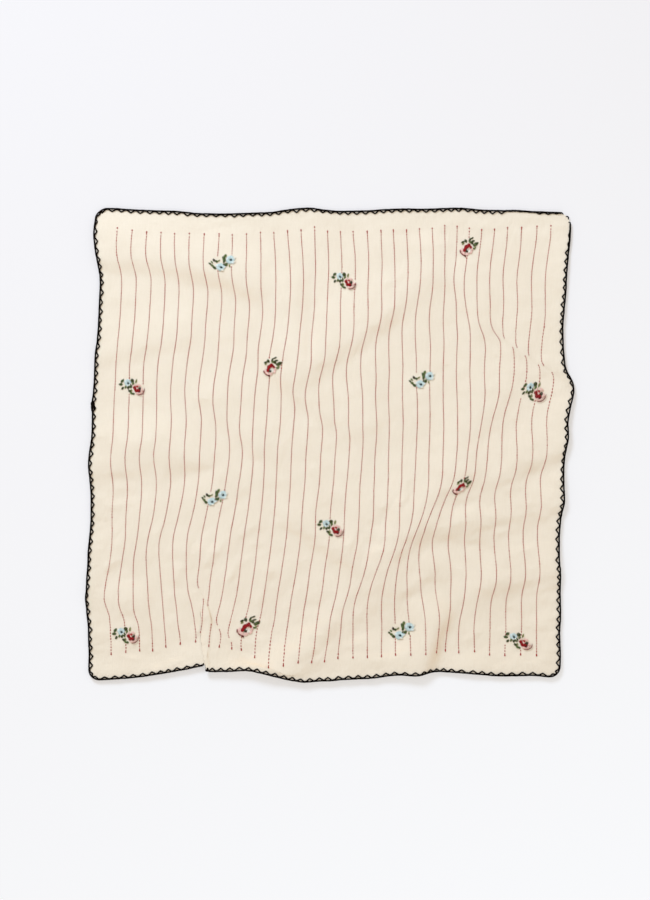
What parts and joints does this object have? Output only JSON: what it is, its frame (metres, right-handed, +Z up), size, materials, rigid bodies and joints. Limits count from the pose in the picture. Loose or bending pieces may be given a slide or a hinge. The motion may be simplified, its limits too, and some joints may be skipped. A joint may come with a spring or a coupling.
{
  "type": "embroidered scarf",
  "caption": "Square cotton gauze scarf lying flat in soft folds, with stitched stripes, small embroidered flower sprigs and a dark crochet edging.",
  "frame": {"origin": "on the surface that the scarf lies on, under the middle of its outline", "axes": "+Z up from the surface; +Y towards the scarf's top edge in the picture and +X towards its right edge"},
  "size_m": [0.5146, 0.5002, 0.0074],
  "materials": {
    "gauze": "matte cream cotton gauze",
    "edging_yarn": "matte black-brown cotton yarn"
  },
  "bodies": {
    "root": {"scarf_cloth": "gauze", "crochet_edging": "edging_yarn"}
  },
  "joints": []
}
